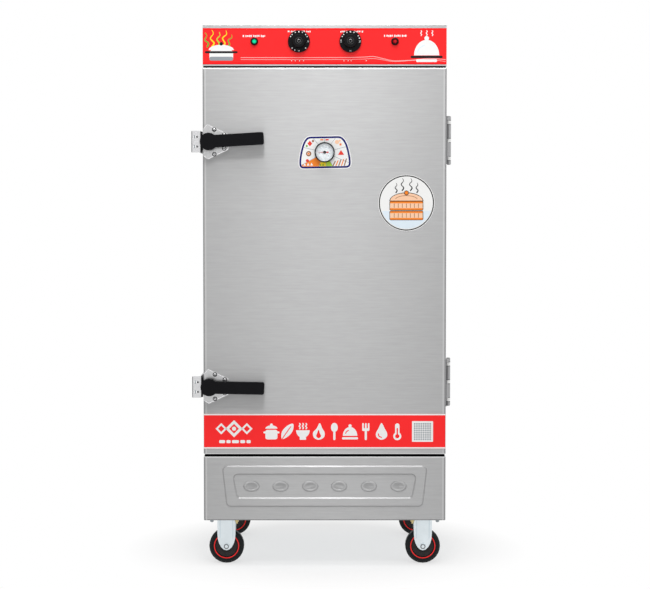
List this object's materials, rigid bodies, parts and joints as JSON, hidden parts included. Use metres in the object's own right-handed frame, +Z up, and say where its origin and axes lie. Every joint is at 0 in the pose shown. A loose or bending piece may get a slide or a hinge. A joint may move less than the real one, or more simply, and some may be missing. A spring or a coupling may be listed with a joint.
{
  "type": "rice steamer cabinet",
  "caption": "Upright stainless steel steam cabinet on casters, with a hinged insulated door, lever latches, dial thermometer, knob controls, tray racks and a heated water tank.",
  "frame": {"origin": "centre of the bounding box at floor level, under the casters", "axes": "+Z up, -Y out of the front door, +X to the viewer's right, towards the hinges"},
  "size_m": [0.7475, 0.6713, 1.567],
  "materials": {
    "brushed_steel": "satin",
    "liner_steel": "satin",
    "zinc_steel": "satin",
    "polished_steel": "polished",
    "black_plastic": "satin",
    "red_film": "satin",
    "white_film": "satin",
    "grey_rubber": "matte",
    "black_tyre": "matte",
    "insulation_foam": "matte",
    "heater_sheath": "satin",
    "green_lens": "gloss",
    "red_lens": "gloss",
    "red_paint": "satin"
  },
  "bodies": {
    "cabinet": {"outer_casing": "brushed_steel", "back_panel": "brushed_steel", "control_panel": "brushed_steel", "lower_front_panel": "brushed_steel", "base_frame": "zinc_steel", "front_frame": "liner_steel", "inner_liner": "liner_steel", "insulation_jacket": "insulation_foam", "control_overlay": "red_film", "timer_unit": "black_plastic", "thermostat_unit": "black_plastic", "heating_lamp": "green_lens", "power_lamp": "red_lens", "upper_latch_keeper": "polished_steel", "lower_latch_keeper": "polished_steel", "upper_hinge_cabinet_leaf": "polished_steel", "upper_hinge_pin": "polished_steel", "lower_hinge_cabinet_leaf": "polished_steel", "lower_hinge_pin": "polished_steel", "front_left_caster_fork": "zinc_steel", "front_left_caster_axle": "zinc_steel", "front_right_caster_fork": "zinc_steel", "front_right_caster_axle": "zinc_steel", "rear_left_caster_plate": "zinc_steel", "rear_right_caster_plate": "zinc_steel", "water_tank": "liner_steel", "heating_element": "heater_sheath", "steam_plate": "liner_steel", "rack_left": "liner_steel", "rack_right": "liner_steel", "rice_tray": "liner_steel", "drain_valve": "zinc_steel", "cable_gland": "black_plastic"},
    "door": {"door_outer_skin": "brushed_steel", "door_inner_skin": "liner_steel", "door_insulation": "insulation_foam", "door_gasket": "grey_rubber", "door_band": "red_film", "thermometer_case": "polished_steel", "thermometer_dial": "white_film", "upper_latch_base": "polished_steel", "lower_latch_base": "polished_steel", "upper_hinge_door_leaf": "polished_steel", "lower_hinge_door_leaf": "polished_steel"},
    "needle": {"thermometer_needle": "red_paint"},
    "upper_latch": {"upper_latch_lever": "black_plastic", "upper_latch_cam": "zinc_steel"},
    "lower_latch": {"lower_latch_lever": "black_plastic", "lower_latch_cam": "zinc_steel"},
    "timer_dial": {"timer_knob": "black_plastic"},
    "thermostat_dial": {"thermostat_knob": "black_plastic"},
    "front_left_wheel": {"front_left_caster_wheel": "black_tyre"},
    "front_right_wheel": {"front_right_caster_wheel": "black_tyre"},
    "rear_left_swivel": {"rear_left_caster_fork": "zinc_steel", "rear_left_caster_axle": "zinc_steel"},
    "rear_left_wheel": {"rear_left_caster_wheel": "black_tyre"},
    "rear_right_swivel": {"rear_right_caster_fork": "zinc_steel", "rear_right_caster_axle": "zinc_steel"},
    "rear_right_wheel": {"rear_right_caster_wheel": "black_tyre"},
    "drain_handle": {"drain_lever": "red_paint"}
  },
  "joints": [
    {"name": "door_hinge", "type": "hinge", "parent": "cabinet", "child": "door", "pos_m": [0.36, -0.2525, 0.8865], "axis": [0, 0, 1], "range_deg": [0, 180]},
    {"name": "upper_latch_turn", "type": "hinge", "parent": "door", "child": "upper_latch", "pos_m": [-0.3315, -0.3155, 1.231], "axis": [0, -1, 0], "range_deg": [0, 90]},
    {"name": "lower_latch_turn", "type": "hinge", "parent": "door", "child": "lower_latch", "pos_m": [-0.3315, -0.3155, 0.5265], "axis": [0, -1, 0], "range_deg": [0, 90]},
    {"name": "needle_turn", "type": "hinge", "parent": "door", "child": "needle", "pos_m": [0, -0.3059, 1.201], "axis": [0, 1, 0], "range_deg": [-45, 225], "stiffness_Nm_per_rad": 0.001},
    {"name": "timer_turn", "type": "hinge", "parent": "cabinet", "child": "timer_dial", "pos_m": [-0.0737, -0.3019, 1.5173], "axis": [0, 1, 0], "range_deg": [0, 300]},
    {"name": "thermostat_turn", "type": "hinge", "parent": "cabinet", "child": "thermostat_dial", "pos_m": [0.0737, -0.3019, 1.5173], "axis": [0, 1, 0], "range_deg": [0, 270]},
    {"name": "front_left_wheel_spin", "type": "hinge", "parent": "cabinet", "child": "front_left_wheel", "pos_m": [-0.288, -0.225, 0.051], "axis": [0, 1, 0], "continuous": true},
    {"name": "front_right_wheel_spin", "type": "hinge", "parent": "cabinet", "child": "front_right_wheel", "pos_m": [0.288, -0.225, 0.051], "axis": [0, 1, 0], "continuous": true},
    {"name": "rear_left_swivel_turn", "type": "hinge", "parent": "cabinet", "child": "rear_left_swivel", "pos_m": [-0.31, 0.225, 0.1244], "axis": [0, 0, 1], "continuous": true},
    {"name": "rear_left_wheel_spin", "type": "hinge", "parent": "rear_left_swivel", "child": "rear_left_wheel", "pos_m": [-0.288, 0.225, 0.051], "axis": [0, 1, 0], "continuous": true},
    {"name": "rear_right_swivel_turn", "type": "hinge", "parent": "cabinet", "child": "rear_right_swivel", "pos_m": [0.31, 0.225, 0.1244], "axis": [0, 0, 1], "continuous": true},
    {"name": "rear_right_wheel_spin", "type": "hinge", "parent": "rear_right_swivel", "child": "rear_right_wheel", "pos_m": [0.288, 0.225, 0.051], "axis": [0, 1, 0], "continuous": true},
    {"name": "drain_lever_turn", "type": "hinge", "parent": "cabinet", "child": "drain_handle", "pos_m": [-0.15, 0.3123, 0.2656], "axis": [0, 0, 1], "range_deg": [0, 90]}
  ]
}
